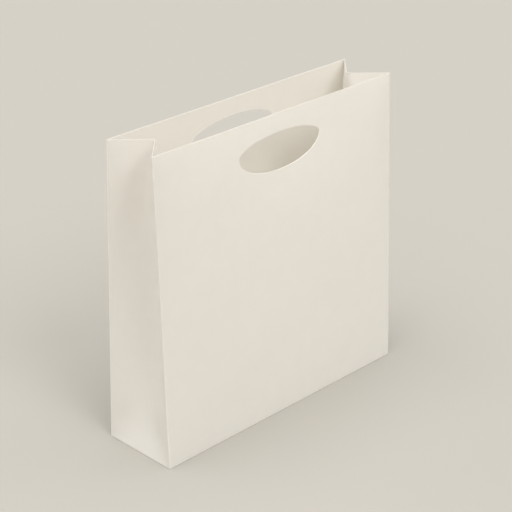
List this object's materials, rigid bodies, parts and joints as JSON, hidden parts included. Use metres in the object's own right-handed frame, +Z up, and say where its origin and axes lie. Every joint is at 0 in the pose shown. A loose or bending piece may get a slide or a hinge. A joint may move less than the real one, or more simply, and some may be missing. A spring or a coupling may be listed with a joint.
{
  "type": "paper bag",
  "caption": "White paper carrier bag that stands open, with side gussets folded inwards, a flat base and an oval hand hole cut through each large panel.",
  "frame": {"origin": "under the middle of the base, on the surface that the bag stands on", "axes": "+X to the right seen from the front, +Y from the front panel to the back panel, +Z up through the mouth"},
  "size_m": [0.299, 0.0808, 0.297],
  "materials": {
    "white_paper": "matt, uncoated, warm white"
  },
  "bodies": {
    "root": {"paper_bag": "white_paper"}
  },
  "joints": []
}
